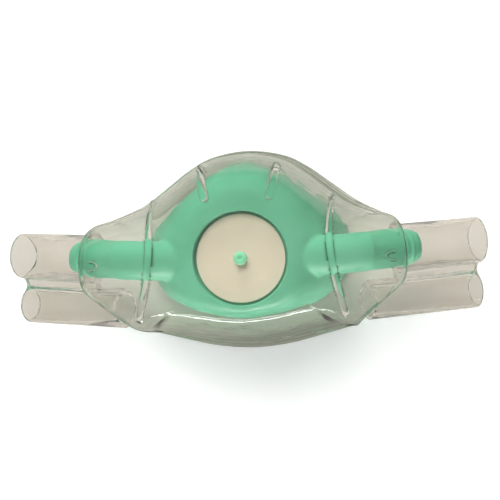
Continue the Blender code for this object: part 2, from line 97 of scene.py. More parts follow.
# Rim from the bridge round one wing to the bottom: x, y, z, fullness, edge power, flange width.
HOOD_RIM = (
    (0.0, 32.85, 0.0, 10.0, 0.42, 1.2),
    (11.9, 31.0, 0.0, 10.0, 0.42, 1.3),
    (19.8, 27.0, 0.0, 9.2, 0.44, 1.6),
    (27.7, 21.2, 0.0, 8.4, 0.45, 1.9),
    (35.6, 15.4, 3.0, 7.2, 0.5, 2.0),
    (43.6, 11.3, 15.0, 6.4, 0.66, 1.5),
    (49.6, 8.6, 26.2, 5.6, 0.86, 1.0),
    (52.6, 3.4, 32.4, 5.0, 1.0, 0.8),
    (53.4, -5.4, 33.2, 5.0, 1.0, 0.8),
    (52.0, -11.8, 32.8, 5.0, 1.0, 0.8),
    (46.8, -16.6, 32.0, 5.2, 1.0, 0.8),
    (41.0, -21.4, 30.4, 6.0, 0.8, 0.8),
    (37.2, -24.8, 23.0, 8.0, 0.6, 0.8),
    (35.2, -26.4, 8.0, 8.0, 0.5, 1.0),
    (32.0, -27.0, 0.0, 8.0, 0.5, 1.6),
    (24.0, -29.0, 0.0, 7.2, 0.5, 2.0),
    (12.5, -31.7, 0.0, 7.0, 0.5, 2.3),
    (0.0, -32.85, 0.0, 7.0, 0.5, 2.3),
)
SHORT_RIB = ((12.3, 26.2), (11.8, 23.4), (11.3, 20.0), (10.6, 16.9))
SHORT_RIB_RADIUS = 1.5
LONG_RIB = (
    (29.3, 16.0),
    (29.0, 12.0),
    (28.8, 6.0),
    (29.0, 0.0),
    (30.0, -8.0),
    (31.6, -16.0),
    (33.2, -21.6),
)
LONG_RIB_RADIUS = 1.15
# A rib is lifted by this share of its radius, and the balls at its ends are a touch smaller.
RIB_LIFT = 0.65
RIB_END_SHARE = 0.995

CUP_WALL = 1.5
CUP_TOP = 39.6
CUP_FLOOR = 1.0
# Cup outline from the bridge round one side to the bottom: x, y, z, fullness, edge power.
CUP_RIM = (
    (0.0, 29.8, 1.0, 9.0, 0.46),
    (9.5, 27.8, 1.0, 9.0, 0.46),
    (17.0, 22.6, 1.0, 8.0, 0.5),
    (23.6, 17.6, 1.0, 7.0, 0.56),
    (29.0, 12.4, 1.0, 5.8, 0.66),
    (32.8, 6.0, 1.0, 5.4, 0.7),
    (33.4, -2.8, 1.0, 5.0, 0.7),
    (30.0, -12.4, 1.0, 6.0, 0.65),
    (22.5, -18.4, 1.0, 9.0, 0.6),
    (13.0, -22.2, 1.0, 12.0, 0.6),
    (0.0, -24.2, 1.0, 12.0, 0.6),
)
BOSS_RADIUS = 16.8
BOSS_TOP = 38.6
BOSS_BOTTOM = 32.4
RECESS_RADIUS = 15.2
LEDGE_RADIUS = 13.0
LEDGE_TOP = 35.9
LEDGE_BOTTOM = 34.7

# The seat is a ring with a hub on spokes. The stud's shank goes through the hole in hub and flap.
SEAT_BOTTOM = 33.0
SEAT_OPENING = 11.2
HUB_RADIUS = 3.4
HUB_DROP = 0.4
SPOKES = 4
SPOKE_SIZE = (9.4, 1.6, 1.3)
SPOKE_DROP = 0.7
SHANK_RADIUS = 1.2
HOLE_RADIUS = 1.5

# Distances along a tube and its arm run inwards from the tube's outer end.
SWEEP = math.radians(30.0)
RISE = math.radians(4.0)
TUBE_END = (75.25, 0.45, 9.7)
TUBE_LENGTH = 39.5
UPPER_LENGTH = 30.0
CUT_BACK_RADIUS = 10.2
UPPER_END_RADIUS = 7.5
UPPER_HOOD_RADIUS = 7.9
UPPER_BORE = 6.5
LOWER_RADIUS = 6.0
LOWER_BORE = 4.75
LOWER_ACROSS = -16.2
LOWER_BELOW = -5.0
WEB_THICKNESS = 2.4
# A small step in the upper lumen, a little way beyond the arm's tip.
SHOULDER_GAP = 5.4
SHOULDER_STEP = 0.12
SHOULDER_SLOPE = 0.4

ARM_RADIUS = 6.45
ARM_BORE = 4.2
ARM_SLEEVE_RADIUS = UPPER_BORE - GAP
ARM_SLEEVE_START = 41.8
ARM_PLUG_RADIUS = 5.5
ARM_PLUG_START = 30.6
ARM_TIP = 23.2
ARM_TIP_RADIUS = 4.9
ARM_RIDGES = (26.6, 28.8)
ARM_RIDGE_RADIUS = 6.0
ARM_RIDGE_FOOT = 0.6
ARM_RIDGE_CREST = 0.3
ARM_BEND = ((33.0, -2.6, 33.2), (25.0, -2.9, 33.0), (19.0, -3.0, 30.0))
ARM_STRAIGHT = 1.5
ARM_OVERLAP = 0.5
ARM_PLUG_SLOPE = 0.8
ARM_TIP_LENGTH = 1.6


# ---------------------------------------------------------------- shape helpers

# Points of a bar that are closer than this, in metres, become one.
MERGE = 0.000001
# A rounded corner takes up at most this share of its shorter side.
CORNER_REACH = 0.45
BALL_SIDES = (24, 16)
# How a dome's profile is measured, and how its rings crowd together at its edge.
FINE_SHARES = 600
FINE_CROWDING = 3
RING_CROWDING = 1.35


def link(obj):
    """Puts an object into the scene."""
    bpy.context.scene.collection.objects.link(obj)
    return obj


def object_from(bm, name):
    """Turns a bmesh in metres into an object."""
    mesh = bpy.data.meshes.new(name)
    bm.to_mesh(mesh)
    bm.free()
    return link(bpy.data.objects.new(name, mesh))


def mesh_object(name, points, faces):
    """A smooth object in metres from points in millimetres."""
    mesh = bpy.data.meshes.new(name)
    mesh.from_pydata([tuple(p) for p in np.asarray(points, float) * MM], [], [tuple(f) for f in faces])
    mesh.validate()
    bm = bmesh.new()
    bm.from_mesh(mesh)
    bmesh.ops.recalc_face_normals(bm, faces=bm.faces)
    bm.to_mesh(mesh)
    bm.free()
    mesh.shade_smooth()
    return link(bpy.data.objects.new(name, mesh))


def bake(obj):
    """Replaces the object's mesh by its evaluated one."""
    graph = bpy.context.evaluated_depsgraph_get()
    mesh = bpy.data.meshes.new_from_object(obj.evaluated_get(graph))
    obj.modifiers.clear()
    obj.data = mesh
    return obj


def boolean(obj, operation, tool):
    """Joins or cuts at once, and deletes the tool."""
    step = obj.modifiers.new(operation.title(), "BOOLEAN")
    step.operation = operation
    step.object = tool
    step.solver = "MANIFOLD"
    bake(obj)
    bpy.data.objects.remove(tool)


def smooth_by_angle(obj, degrees):
    """Smooth shading that stops at edges sharper than an angle."""
    obj.data.shade_smooth()
    obj.data.set_sharp_from_angle(angle=math.radians(degrees))


def smooth_loop(stations, steps):
    """Rows on a closed Catmull-Rom curve through one half's stations and their mirror image."""
    half = np.array(stations, float)
    other = half[-2:0:-1].copy()
    other[:, 0] *= -1
    ring = np.concatenate([half, other])
    rows = []
    for i in range(len(ring)):
        a, b, c, d = (ring[(i + k) % len(ring)] for k in (-1, 0, 1, 2))
        for t in np.arange(steps) / steps:
            rows.append(
                0.5 * ((-t + 2 * t**2 - t**3) * a + (2 - 5 * t**2 + 3 * t**3) * b)
                + 0.5 * ((t + 4 * t**2 - 3 * t**3) * c + (-(t**2) + t**3) * d)
            )
    rows = np.array(rows)
    rows[:, 2] = np.maximum(rows[:, 2], 0.0)
    return rows


def dome_height(share, edge_z, top, fullness, power):
    """Height of a dome at a share of the way from its axis to its edge."""
    return edge_z + (top - edge_z) * np.maximum(0.0, 1.0 - share**fullness) ** power


def even_shares(reach, edge_z, top, fullness, power, count):
    """Shares of the way to the edge, spaced by length along the dome and closer near its edge."""
    fine = 1.0 - (1.0 - np.linspace(0.0, 1.0, FINE_SHARES)) ** FINE_CROWDING
    height = dome_height(fine, edge_z, top, fullness, power)
    steps = np.hypot(np.diff(fine * reach), np.diff(height))
    length = np.concatenate([[0.0], np.cumsum(steps)])
    wanted = 1.0 - (1.0 - np.arange(1, count + 1) / count) ** RING_CROWDING
    return np.interp(wanted * length[-1], length, fine)


def dome_rings(rows, top, inset, drop, lift, count):
    """Rings of points from near the axis to the edge, for rows that end with a flange's width."""
    rings = np.empty((count, len(rows), 3))
    for i, row in enumerate(rows):
        x, y, z, fullness, power, flange = row
        across = np.array([x, y - VALVE_Y])
        distance = np.linalg.norm(across)
        reach = distance - flange - inset
        shares = even_shares(reach, z + lift - drop, top - drop, fullness, power, count)
        spots = across[None, :] / distance * reach * shares[:, None]
        rings[:, i, 0] = spots[:, 0]
        rings[:, i, 1] = spots[:, 1] + VALVE_Y
        rings[:, i, 2] = dome_height(shares, z + lift - drop, top - drop, fullness, power)
    return rings


def ease_profile(rings, first, last):
    """Rounds the profile's corners between two rings by averaging each point with its neighbours."""
    before, after = rings[first - 1 : last - 1], rings[first + 1 : last + 1]
    rings[first:last] = 0.25 * before + 0.5 * rings[first:last] + 0.25 * after


def skin_faces(count, width, closed_ends):
    """Quads between rings, and fans to the points that follow them."""
    faces = []
    for k in range(count - 1):
        for i in range(width):
            j = (i + 1) % width
            faces.append((k * width + i, k * width + j, (k + 1) * width + j, (k + 1) * width + i))
    if closed_ends:
        first, last = count * width, count * width + 1
        base = (count - 1) * width
        for i in range(width):
            j = (i + 1) % width
            faces.append((first, j, i))
            faces.append((last, base + i, base + j))
    return faces


def tube_axes(side):
    """End point, outward direction, across and up directions of one twin tube."""
    end = Vector((side * TUBE_END[0], TUBE_END[1], TUBE_END[2]))
    level, fall = math.cos(SWEEP), math.sin(SWEEP)
    sideways, forwards = side * math.cos(RISE), math.sin(RISE)
    out = Vector((level * sideways, level * forwards, -fall))
    across = Vector((-side * forwards, math.cos(RISE), 0.0))
    up = Vector((fall * sideways, fall * forwards, level))
    return end, out, across, up


def turned(name, profile, origin, axis, segments):
    """A closed profile of (radius, height along the axis) turned about it; radius 0 closes an end."""
    axis = Vector(axis).normalized()
    side = axis.orthogonal().normalized()
    other = axis.cross(side)
    points, faces, rings = [], [], []
    for radius, height in profile:
        centre = Vector(origin) + axis * height
        if radius == 0.0:
            rings.append([len(points)])
            points.append(centre)
            continue
        rings.append(list(range(len(points), len(points) + segments)))
        for k in range(segments):
            angle = math.tau * k / segments
            points.append(centre + (side * math.cos(angle) + other * math.sin(angle)) * radius)
    pairs = list(zip(rings, rings[1:]))
    if len(rings[0]) > 1:
        pairs.append((rings[-1], rings[0]))
    for here, there in pairs:
        for k in range(segments):
            n = (k + 1) % segments
            if len(here) == 1:
                faces.append((here[0], there[k], there[n]))
            elif len(there) == 1:
                faces.append((here[k], here[n], there[0]))
            else:
                faces.append((here[k], here[n], there[n], there[k]))
    return mesh_object(name, points, faces)


def rounded(profile, radius, steps=4):
    """Replaces each corner of a profile by a short curve, and keeps its first and last points."""
    points = [Vector(p) for p in profile]
    result = [tuple(points[0])]
    for before, corner, after in zip(points, points[1:], points[2:]):
        sides = (corner - before).length, (after - corner).length
        reach = min(radius, min(sides) * CORNER_REACH)
        start = corner + (before - corner).normalized() * reach
        end = corner + (after - corner).normalized() * reach
        for k in range(steps + 1):
            t = k / steps
            result.append(tuple(start * (1 - t) ** 2 + corner * (2 * t * (1 - t)) + end * t**2))
    result.append(tuple(points[-1]))
    return result


def bar(name, points, radius, sides=6, steps=8):
    """A round bar along a smooth line with flat ends, as a closed mesh."""
    curve = bpy.data.curves.new(name, "CURVE")
    curve.dimensions = "3D"
    curve.bevel_depth = radius * MM
    curve.bevel_resolution = sides
    curve.resolution_u = steps
    curve.use_fill_caps = True
    line = curve.splines.new("NURBS")
    line.points.add(len(points) - 1)
    for spot, point in zip(line.points, points):
        spot.co = (*(Vector(point) * MM), 1.0)
    line.order_u = 4 if len(points) > 3 else 3
    line.use_endpoint_u = True
    holder = link(bpy.data.objects.new(name, curve))
    graph = bpy.context.evaluated_depsgraph_get()
    mesh = bpy.data.meshes.new_from_object(holder.evaluated_get(graph))
    bpy.data.objects.remove(holder)
    bm = bmesh.new()
    bm.from_mesh(mesh)
    bmesh.ops.remove_doubles(bm, verts=bm.verts, dist=MERGE)
    bmesh.ops.recalc_face_normals(bm, faces=bm.faces)
    bm.to_mesh(mesh)
    bm.free()
    return link(bpy.data.objects.new(name, mesh))


def ball(name, centre, radius):
    """A ball that rounds off the end of a bar."""
    around, down = BALL_SIDES
    bm = bmesh.new()
    bmesh.ops.create_uvsphere(bm, u_segments=around, v_segments=down, radius=radius * MM)
    bmesh.ops.translate(bm, vec=Vector(centre) * MM, verts=bm.verts)
    return object_from(bm, name)


def turned_upright(name, profile, segments):
    """A profile turned about the valve's axis."""
    return turned(name, profile, (0, VALVE_Y, 0), (0, 0, 1), segments)


def soften_edges(obj, width, degrees):
    """Rounds the edges that are sharper than an angle."""
    bevel = obj.modifiers.new("Edges", "BEVEL")
    bevel.width = width * MM
    bevel.segments = 2
    bevel.limit_method = "ANGLE"
    bevel.angle_limit = math.radians(degrees)
    bake(obj)


def dress(obj, material, body, node):
    """Gives a piece its material and puts it in the place of its CAD node."""
    obj.data.materials.clear()
    obj.data.materials.append(material)
    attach(obj, body)
    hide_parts(node)


# ---------------------------------------------------------------- materials

# Most of a noise texture's values lie between these two.
NOISE_LOW = 0.3
NOISE_HIGH = 0.7
WHITE = (1.0, 1.0, 1.0)
# The pointiness of a fold where the painted crease shade is full, and where it has faded out.
CREASE_SHARP = 0.45
CREASE_FLAT = 0.492
# Depths of bumps, in metres.
CLEAR_GRAIN = 0.000006
VINYL_SWELL = 0.00012
VINYL_GRAIN = 0.000012
SILICONE_SWELL = 0.00010
SILICONE_GRAIN = 0.000008


class Nodes:
    """Short-hand for building a node material."""

    def __init__(self, name):
        self.material = bpy.data.materials.new(name)
        self.material.use_nodes = True
        self.tree = self.material.node_tree
        self.shader = self.tree.nodes["Principled BSDF"]
        self.out = self.tree.nodes["Material Output"]

    def add(self, kind):
        return self.tree.nodes.new(kind)

    def join(self, source, target):
        self.tree.links.new(source, target)

    def set(self, **values):
        for key, value in values.items():
            self.shader.inputs[key.replace("_", " ")].default_value = value

    def place(self):
        return self.add("ShaderNodeTexCoord").outputs["Object"]

    def noise(self, scale, detail=3.0, roughness=0.5):
        node = self.add("ShaderNodeTexNoise")
        node.inputs["Scale"].default_value = scale
        node.inputs["Detail"].default_value = detail
        node.inputs["Roughness"].default_value = roughness
        self.join(self.place(), node.inputs["Vector"])
        return node.outputs["Fac"]

    def spread(self, source, low, high, from_low=NOISE_LOW, from_high=NOISE_HIGH):
        node = self.add("ShaderNodeMapRange")
        node.inputs["From Min"].default_value = from_low
        node.inputs["From Max"].default_value = from_high
        node.inputs["To Min"].default_value = low
        node.inputs["To Max"].default_value = high
        self.join(source, node.inputs["Value"])
        return node.outputs["Result"]

    def tint(self, source, dark, light, low=NOISE_LOW, high=NOISE_HIGH):
        node = self.add("ShaderNodeValToRGB")
        node.color_ramp.elements[0].position = low
        node.color_ramp.elements[0].color = (*dark, 1.0)
        node.color_ramp.elements[1].position = high
        node.color_ramp.elements[1].color = (*light, 1.0)
        self.join(source, node.inputs["Fac"])
        return node.outputs["Color"]

    def times(self, one, other):
        node = self.add("ShaderNodeMix")
        node.data_type = "RGBA"
        node.blend_type = "MULTIPLY"
        node.inputs["Factor"].default_value = 1.0
        self.join(one, node.inputs["A"])
        self.join(other, node.inputs["B"])
        return node.outputs["Result"]

    def bump(self, *layers):
        """Layers of (height source, distance in metres), each on top of the last."""
        normal = None
        for source, distance in layers:
            node = self.add("ShaderNodeBump")
            node.inputs["Strength"].default_value = 1.0
            node.inputs["Distance"].default_value = distance
            self.join(source, node.inputs["Height"])
            if normal:
                self.join(normal, node.inputs["Normal"])
            normal = node.outputs["Normal"]
        self.join(normal, self.shader.inputs["Normal"])


def clear_plastic(name, face_on, edge_on, painted_crease_shade, rough, wave, shadow, index):
    """Clear vinyl: darker edge on, painted shade along creases, faintly hazy and wavy, with a light
    shadow.
    """
    n = Nodes(name)
    n.set(Transmission_Weight=1.0, IOR=index, Metallic=0.0)
    layer = n.add("ShaderNodeLayerWeight")
    layer.inputs["Blend"].default_value = 0.5
    depth = n.tint(layer.outputs["Facing"], face_on, edge_on, low=0.15, high=1.0)
    cloud = n.tint(n.noise(scale=45.0), (0.95, 0.95, 0.94), WHITE)
    # Painted shade: the tint darkens concave creases, standing in for the dark lines that refraction
    # draws there.
    fold = n.add("ShaderNodeNewGeometry").outputs["Pointiness"]
    crease_shade_tint = n.tint(fold, painted_crease_shade, WHITE, CREASE_SHARP, CREASE_FLAT)
    n.join(n.times(n.times(depth, cloud), crease_shade_tint), n.shader.inputs["Base Color"])
    haze = n.spread(n.noise(scale=220.0), low=rough * 0.6, high=rough * 1.6)
    n.join(haze, n.shader.inputs["Roughness"])
    n.bump((n.noise(scale=60.0, detail=2.0), wave), (n.noise(scale=900.0, detail=4.0), CLEAR_GRAIN))
    clear = n.add("ShaderNodeBsdfTransparent")
    clear.inputs["Color"].default_value = (*shadow, 1.0)
    path = n.add("ShaderNodeLightPath")
    mix = n.add("ShaderNodeMixShader")
    n.join(path.outputs["Is Shadow Ray"], mix.inputs["Fac"])
    n.join(n.shader.outputs["BSDF"], mix.inputs[1])
    n.join(clear.outputs["BSDF"], mix.inputs[2])
    n.join(mix.outputs["Shader"], n.out.inputs["Surface"])
    return n.material


def soft_vinyl(name, dark, light, rough, glow):
    """Soft green vinyl: satin, a little translucent, with a fine moulded grain."""
    n = Nodes(name)
    n.set(Subsurface_Weight=glow, Subsurface_Scale=0.004, IOR=1.5)
    n.shader.inputs["Subsurface Radius"].default_value = (0.35, 0.9, 0.55)
    n.join(n.tint(n.noise(scale=70.0, detail=4.0), dark, light), n.shader.inputs["Base Color"])
    satin = n.spread(n.noise(scale=400.0), low=rough * 0.8, high=rough * 1.25)
    n.join(satin, n.shader.inputs["Roughness"])
    n.bump((n.noise(scale=120.0), VINYL_SWELL), (n.noise(scale=2500.0), VINYL_GRAIN))
    return n.material


def pale_silicone(name):
    """Creamy silicone sheet: translucent, satin, with a faint cloud in its tint."""
    n = Nodes(name)
    n.set(Subsurface_Weight=0.25, Subsurface_Scale=0.003, IOR=1.41)
    n.shader.inputs["Subsurface Radius"].default_value = (1.0, 0.85, 0.6)
    cloud = n.tint(n.noise(scale=90.0, detail=4.0), (0.76, 0.63, 0.50), (0.82, 0.69, 0.55))
    n.join(cloud, n.shader.inputs["Base Color"])
    n.join(n.spread(n.noise(scale=500.0), low=0.28, high=0.42), n.shader.inputs["Roughness"])
    swell, grain = n.noise(scale=60.0, detail=2.0), n.noise(scale=3000.0, detail=2.0)
    n.bump((swell, SILICONE_SWELL), (grain, SILICONE_GRAIN))
    return n.material


# How strongly the floor shines towards the camera alone.
FLOOR_GLOW = 0.3


def floor_paper():
    """White to the camera, as on a cut-out picture, and warm grey seen through or off the plastic."""
    n = Nodes("pale_floor")
    white = n.tint(n.noise(scale=8.0, detail=4.0), (0.90, 0.90, 0.90), (0.93, 0.93, 0.93))
    paper = n.tint(n.noise(scale=8.0, detail=4.0), (0.64, 0.60, 0.54), (0.67, 0.63, 0.57))
    path = n.add("ShaderNodeLightPath")
    blend = n.add("ShaderNodeMix")
    blend.data_type = "RGBA"
    n.join(path.outputs["Is Camera Ray"], blend.inputs["Factor"])
    n.join(paper, blend.inputs["A"])
    n.join(white, blend.inputs["B"])
    n.join(blend.outputs["Result"], n.shader.inputs["Base Color"])
    n.join(white, n.shader.inputs["Emission Color"])
    glow = n.spread(path.outputs["Is Camera Ray"], low=0.0, high=FLOOR_GLOW, from_low=0.0, from_high=1.0)
    n.join(glow, n.shader.inputs["Emission Strength"])
    n.set(Roughness=0.9)
    return n.material


# ---------------------------------------------------------------- outer hood

# Points from one rim station to the next, and rings from the crown to the flange.
HOOD_STEPS = 12
HOOD_COUNT = 52
HOOD_SMOOTH = 38.0
# The flange dips behind a rounded bead near its free edge.
FLANGE_RINGS = 10
FLANGE_DIP = 0.3
BEAD_HEIGHT = 0.55
BEAD_PLACE = 0.8
BEAD_WIDTH = 0.16
# Rings down the flange's free edge, and how far up the dome the easing of corners reaches.
TIP_RINGS = 5
EASED_RINGS = 3
# A small raised loop on each wing.
MARK = ((50.0, -2.2), (48.0, -2.3), (46.6, -3.0), (46.6, -4.4), (48.0, -5.1), (50.0, -5.2))
MARK_RADIUS = 0.32
MARK_LIFT = 0.05


def hood_height(x, y):
    """Height of the hood's outer side over a point of the plan."""
    rows = smooth_loop(HOOD_RIM, HOOD_STEPS)
    angles = np.arctan2(rows[:, 0], rows[:, 1] - VALVE_Y)
    best = rows[np.argmin(np.abs(angles - math.atan2(x, y - VALVE_Y)))]
    reach = math.hypot(best[0], best[1] - VALVE_Y) - best[5]
    share = math.hypot(x, y - VALVE_Y) / reach
    return float(dome_height(share, best[2] + HOOD_WALL, HOOD_TOP, best[3], best[4]))


def hood_shell():
    """Both sides of the wall and the rim flange in one closed skin with eased corners."""
    rows = smooth_loop(HOOD_RIM, HOOD_STEPS)
    outer = dome_rings(rows, HOOD_TOP, 0.0, 0.0, HOOD_WALL, HOOD_COUNT)
    inner = dome_rings(rows, HOOD_TOP, HOOD_WALL, HOOD_WALL, HOOD_WALL, HOOD_COUNT)
    edge = rows[:, :3]
    top = edge + (0.0, 0.0, HOOD_WALL)
    across = np.arange(1, FLANGE_RINGS) / FLANGE_RINGS
    bead = BEAD_HEIGHT * np.exp(-(((across - BEAD_PLACE) / BEAD_WIDTH) ** 2))
    out_top = outer[-1] + (top - outer[-1]) * across[:, None, None]
    out_top[:, :, 2] += (bead - FLANGE_DIP * np.sin(math.pi * across))[:, None]
    tip = top + (edge - top) * np.linspace(0.0, 1.0, TIP_RINGS)[:, None, None]
    in_bottom = edge + (inner[-1] - edge) * across[:, None, None]
    rings = np.concatenate([outer, out_top, tip, in_bottom, inner[::-1]])
    last = len(rings) - HOOD_COUNT
    ease_profile(rings, HOOD_COUNT - EASED_RINGS, last + EASED_RINGS)
    ends = [(0.0, VALVE_Y, HOOD_TOP), (0.0, VALVE_Y, HOOD_TOP - HOOD_WALL)]
    points = np.concatenate([rings.reshape(-1, 3), ends])
    return mesh_object("outer_hood_shell", points, skin_faces(len(rings), len(rows), True))


def hood_ribs(hood):
    """Moulded ribs that follow the dome, with rounded ends."""
    for name, side in SIDES:
        for line, radius in ((SHORT_RIB, SHORT_RIB_RADIUS), (LONG_RIB, LONG_RIB_RADIUS)):
            lift = RIB_LIFT * radius
            spots = [(side * x, y, hood_height(x, y) + lift) for x, y in line]
            boolean(hood, "UNION", bar("rib" + name, spots, radius))
            for spot in (spots[0], spots[-1]):
                boolean(hood, "UNION", ball("end" + name, spot, radius * RIB_END_SHARE))


def hood_marks(hood):
    """A small raised loop, open outwards, on the crest of each wing."""
    for name, side in SIDES:
        line = [(side * x, y, hood_height(x, y) + MARK_LIFT) for x, y in MARK]
        boolean(hood, "UNION", bar("mark" + name, line, MARK_RADIUS, sides=3))


def outer_hood():
    """Clear shell with two wings, a rim flange, ribs and marks."""
    hood = hood_shell()
    hood_ribs(hood)
    hood_marks(hood)
    hood.name = "clear_outer_hood"
    smooth_by_angle(hood, HOOD_SMOOTH)
    vinyl = clear_plastic(
        "clear_hood_vinyl",
        face_on=(0.97, 0.98, 0.95),
        edge_on=(0.30, 0.36, 0.28),
        # Painted shade: near-black green along the creases at the ribs and the rim flange.
        painted_crease_shade=(0.04, 0.07, 0.04),
        rough=0.012,
        wave=0.00032,
        shadow=(0.96, 0.97, 0.95),
        index=1.47,
    )
    dress(hood, vinyl, "hood", "outer_hood")


# ---------------------------------------------------------------- inner mask

# Points from one station of the cup's outline to the next, and rings from its crown to its edge.
CUP_STEPS = 14
CUP_COUNT = 40
# The hollow reaches below the cup's edge, so the cup is open to the face.
CAVITY_FLOOR = CUP_FLOOR - 1.5
# Voxel size of the remesh that grows the parts together, and rounds of smoothing after it.
MASK_VOXEL = 0.5
MASK_EASE = 16
MASK_SMOOTH = 40.0
# What the hollow leaves standing of the boss.
CORE_RADIUS = BOSS_RADIUS - 0.2
# The recess widens a little at its top edge.
RECESS_FLARE = 0.3
RECESS_FLARE_BOTTOM = BOSS_TOP - 0.35
ABOVE_CUP = CUP_TOP + 2 * CUT_MARGIN
PLUG_ROUNDING = 0.25


def cup_dome(name, inset, floor):
    """A closed dome over the cup's outline, smaller by a wall, that stands on a floor."""
    rows = smooth_loop(CUP_RIM, CUP_STEPS)
    rows = np.concatenate([rows, np.zeros((len(rows), 1))], axis=1)
    rings = dome_rings(rows, CUP_TOP, inset, 0.0, 0.0, CUP_COUNT)
    if inset:
        rings[..., 2] -= inset * (rings[..., 2] - CUP_FLOOR) / (CUP_TOP - CUP_FLOOR)
    bottom = rings[-1].copy()
    bottom[:, 2] = floor
    rings = np.concatenate([rings, bottom[None]])
    ends = [(0.0, VALVE_Y, rings[0, :, 2].mean()), (0.0, VALVE_Y, floor)]
    points = np.concatenate([rings.reshape(-1, 3), ends])
    return mesh_object(name, points, skin_faces(len(rings), len(rows), True))


def arm_line(side):
    """Centre line of an arm's root, from its sleeve to the inside of the cup."""
    end, out, _, _ = tube_axes(side)
    root = end - out * ARM_SLEEVE_START
    bend = [Vector((side * x, y, z)) for x, y, z in ARM_BEND]
    return [root + out * ARM_STRAIGHT, root - out * ARM_STRAIGHT] + bend


def arm_plug(side):
    """The straight end of an arm: a sleeve, and a slimmer plug with grip rings and a soft tip."""
    end, out, _, _ = tube_axes(side)
    start = ARM_SLEEVE_START + ARM_OVERLAP
    profile = [
        (0.0, -start),
        (ARM_SLEEVE_RADIUS, -start),
        (ARM_SLEEVE_RADIUS, -ARM_PLUG_START - ARM_PLUG_SLOPE),
        (ARM_PLUG_RADIUS, -ARM_PLUG_START),
    ]
    for ridge in sorted(ARM_RIDGES, reverse=True):
        profile += [
            (ARM_PLUG_RADIUS, -ridge - ARM_RIDGE_FOOT),
            (ARM_RIDGE_RADIUS, -ridge - ARM_RIDGE_CREST),
            (ARM_RIDGE_RADIUS, -ridge + ARM_RIDGE_CREST),
            (ARM_PLUG_RADIUS, -ridge + ARM_RIDGE_FOOT),
        ]
    profile += [
        (ARM_PLUG_RADIUS, -ARM_TIP - ARM_TIP_LENGTH),
        (ARM_TIP_RADIUS, -ARM_TIP),
        (0.0, -ARM_TIP),
    ]
    return turned("plug", rounded(profile, PLUG_ROUNDING), end, out, segments=72)


def grown_mask():
    """Cup, arm roots and valve boss grown together by a fine remesh."""
    mask = cup_dome("green_inner_mask", 0.0, CUP_FLOOR)
    joined = [mask]
    for name, side in SIDES:
        joined.append(bar("root" + name, arm_line(side), ARM_RADIUS, sides=10, steps=12))
    boss = [(0.0, BOSS_BOTTOM), (BOSS_RADIUS, BOSS_BOTTOM), (BOSS_RADIUS, BOSS_TOP), (0.0, BOSS_TOP)]
    joined.append(turned_upright("boss", boss, segments=96))
    with bpy.context.temp_override(active_object=mask, selected_editable_objects=joined):
        bpy.ops.object.join()
    remesh = mask.modifiers.new("Grow", "REMESH")
    remesh.mode = "VOXEL"
    remesh.voxel_size = MASK_VOXEL * MM
    ease = mask.modifiers.new("Ease", "SMOOTH")
    ease.factor = 0.5
    ease.iterations = MASK_EASE
    return bake(mask)


def hollow_cup(mask):
    """Hollows the cup and leaves the core of the boss standing."""
    cavity = cup_dome("cavity", CUP_WALL, CAVITY_FLOOR)
    core = [(0.0, BOSS_BOTTOM), (CORE_RADIUS, BOSS_BOTTOM), (CORE_RADIUS, BOSS_TOP), (0.0, BOSS_TOP)]
    boolean(cavity, "DIFFERENCE", turned_upright("core", core, segments=96))
    boolean(mask, "DIFFERENCE", cavity)


def bored_arms(mask):
    """Adds the straight ends of both arms and bores the arms through."""
    for name, side in SIDES:
        end, out, _, _ = tube_axes(side)
        boolean(mask, "UNION", arm_plug(side))
        boolean(mask, "DIFFERENCE", bar("bend" + name, arm_line(side), ARM_BORE, sides=8, steps=12))
        low, high = -ARM_SLEEVE_START, -ARM_TIP + CUT_MARGIN
        bore = [(0.0, low), (ARM_BORE, low), (ARM_BORE, high), (0.0, high)]
        boolean(mask, "DIFFERENCE", turned("bore", bore, end, out, segments=56))


def valve_opening(mask):
    """Cuts the recess of the flap, the ledge's hole and the pocket of the seat."""
    below = BOSS_BOTTOM - CUT_MARGIN
    flared = RECESS_RADIUS + RECESS_FLARE
    hole = [
        (0.0, below),
        (RECESS_RADIUS, below),
        (RECESS_RADIUS, LEDGE_BOTTOM),
        (LEDGE_RADIUS, LEDGE_BOTTOM),
        (LEDGE_RADIUS, LEDGE_TOP),
        (RECESS_RADIUS, LEDGE_TOP),
        (RECESS_RADIUS, RECESS_FLARE_BOTTOM),
        (flared, BOSS_TOP),
        (flared, ABOVE_CUP),
        (0.0, ABOVE_CUP),
    ]
    boolean(mask, "DIFFERENCE", turned_upright("hole", hole, segments=120))


def inner_mask():
    """Green nose cup with two hollow arms and an opening for the valve."""
    mask = grown_mask()
    hollow_cup(mask)
    bored_arms(mask)
    valve_opening(mask)
    smooth_by_angle(mask, MASK_SMOOTH)
    dark, light = (0.12, 0.44, 0.27), (0.155, 0.50, 0.325)
    vinyl = soft_vinyl("green_soft_vinyl", dark, light, rough=0.40, glow=0.15)
    dress(mask, vinyl, "hood", "inner_mask")


# ---------------------------------------------------------------- valve

SEAT_EDGE = 0.12
SEAT_EDGE_ANGLE = 50.0
SEAT_SMOOTH = 40.0
STUD_SMOOTH = 45.0
STUD_ROUNDING = 0.2
FLAP_SMOOTH = 50.0
FLAP_ROUNDING = 0.3
# The stud's head as radius and depth below its top, and its barb as radius and height above its tip.
STUD_HEAD = (
    (0.0, 0.5),
    (0.45, 0.42),
    (0.75, 0.08),
    (1.05, 0.0),
    (1.6, 0.12),
    (2.05, 0.5),
    (2.2, 0.9),
    (2.15, 1.3),
    (SHANK_RADIUS, 1.3),
)
STUD_BARB = ((SHANK_RADIUS, 1.2), (2.0, 1.2), (0.75, 0.0), (0.0, 0.0))
# The flap sinks by this much at its hole, and by these shares of it at two radii on the way out.
FLAP_DISH = 0.12
FLAP_DISH_SHARES = ((5.0, 0.8), (10.0, 0.25))


